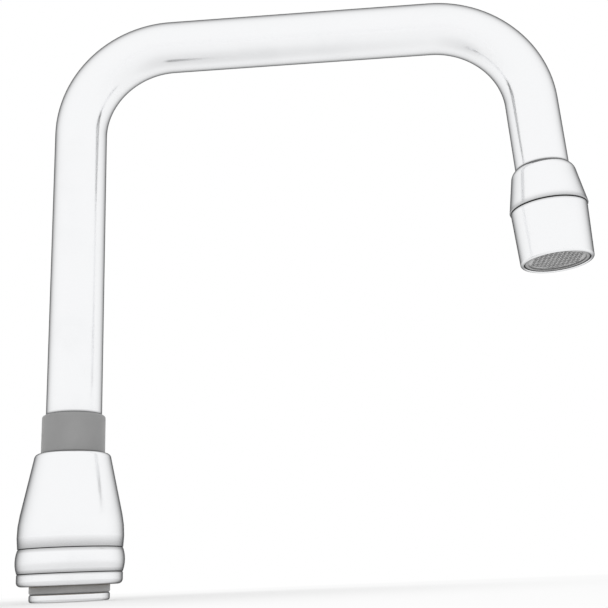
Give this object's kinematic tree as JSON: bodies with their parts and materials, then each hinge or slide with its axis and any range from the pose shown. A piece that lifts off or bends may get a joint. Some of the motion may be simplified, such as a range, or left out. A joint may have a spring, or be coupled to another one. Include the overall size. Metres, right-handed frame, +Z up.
{
  "type": "commercial faucet spout",
  "caption": "Bent-tube swing spout for a commercial faucet, with a bell-shaped coupling nut at its foot and a screw-on laminar outlet at its tip.",
  "frame": {"origin": "centre of the swivel stem's foot face, on the swing axis", "axes": "+Z up along the swing axis and the vertical leg, +X from the foot towards the outlet, +Y to the left seen from behind the foot"},
  "size_m": [0.2024, 0.036, 0.2127],
  "materials": {
    "chrome_nut": "polished chromium plate over brass",
    "chrome_stem": "polished chromium plate over brass",
    "chrome_tube": "polished chromium plate over brass",
    "chrome_adapter": "polished chromium plate over brass",
    "chrome_housing": "polished chromium plate over brass",
    "acetal_grey": "moulded mid-grey acetal, fine satin",
    "acetal_natural": "moulded natural acetal, satin",
    "rubber_black": "moulded nitrile rubber",
    "insert_grey": "moulded mid-grey plastic",
    "grid_grey": "moulded mid-grey plastic honeycomb",
    "steel_sheet": "perforated stainless sheet"
  },
  "bodies": {
    "bearing": {"guide_sleeve": "acetal_grey", "slip_washer": "acetal_natural"},
    "nut": {"coupling_nut": "chrome_nut"},
    "spout": {"swivel_stem": "chrome_stem", "bearing_ring": "acetal_grey", "stem_o_ring_lower": "rubber_black", "stem_o_ring_upper": "rubber_black", "seat_washer": "acetal_natural", "spout_tube": "chrome_tube", "outlet_adapter": "chrome_adapter"},
    "insert": {"outlet_washer": "rubber_black", "insert_body": "insert_grey", "strainer": "steel_sheet", "flow_disc": "insert_grey", "flow_ring": "rubber_black", "jet_disc": "insert_grey", "stream_screen_upper": "insert_grey", "stream_screen_lower": "insert_grey", "outlet_grid": "grid_grey"},
    "housing": {"outlet_housing": "chrome_housing"}
  },
  "joints": [
    {"name": "nut_lift", "type": "slide", "parent": "bearing", "child": "nut", "axis": [0, 0, 1], "range_m": [0, 0.115]},
    {"name": "spout_swing", "type": "hinge", "parent": "bearing", "child": "spout", "pos_m": [0, 0, 0.02], "axis": [0, 0, 1], "continuous": true},
    {"name": "insert_travel", "type": "slide", "parent": "spout", "child": "insert", "axis": [0.0436, 0, -0.999], "range_m": [0, 0.0047]},
    {"name": "housing_turn", "type": "hinge", "parent": "insert", "child": "housing", "pos_m": [0.17145, 0, 0.10746], "axis": [0.0436, 0, -0.999], "range_deg": [0, 1800]}
  ],
  "couplings": [
    {"joint": "housing_turn", "follows": "insert_travel", "rad_per_m": 6679}
  ]
}
